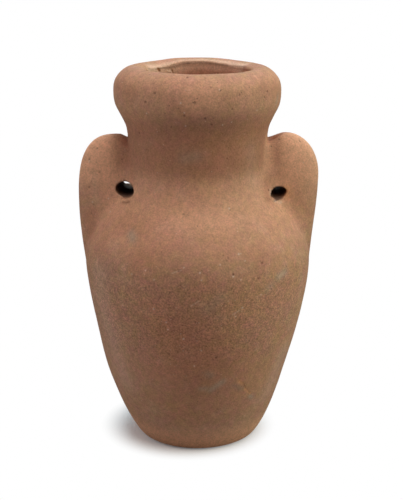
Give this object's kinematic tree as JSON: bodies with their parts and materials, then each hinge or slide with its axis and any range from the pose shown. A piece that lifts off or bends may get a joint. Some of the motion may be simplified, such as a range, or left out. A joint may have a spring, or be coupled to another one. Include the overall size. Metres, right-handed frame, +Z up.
{
  "type": "clay amphora",
  "caption": "Miniature fired-clay amphora, hollow and open, with a thick rolled rim, short neck, small flat foot and pierced ear lugs at its sides for a cord.",
  "frame": {"origin": "middle of the flat underside, where the vessel stands", "axes": "+Z up along the vessel's axis to the mouth, +X through the right-hand lug, -Y towards the viewer of the picture; the cord holes run along Y"},
  "size_m": [0.0282, 0.0268, 0.045],
  "materials": {
    "fired_clay": "unglazed, matt, fine-grained"
  },
  "bodies": {
    "root": {"amphora": "fired_clay"}
  },
  "joints": []
}
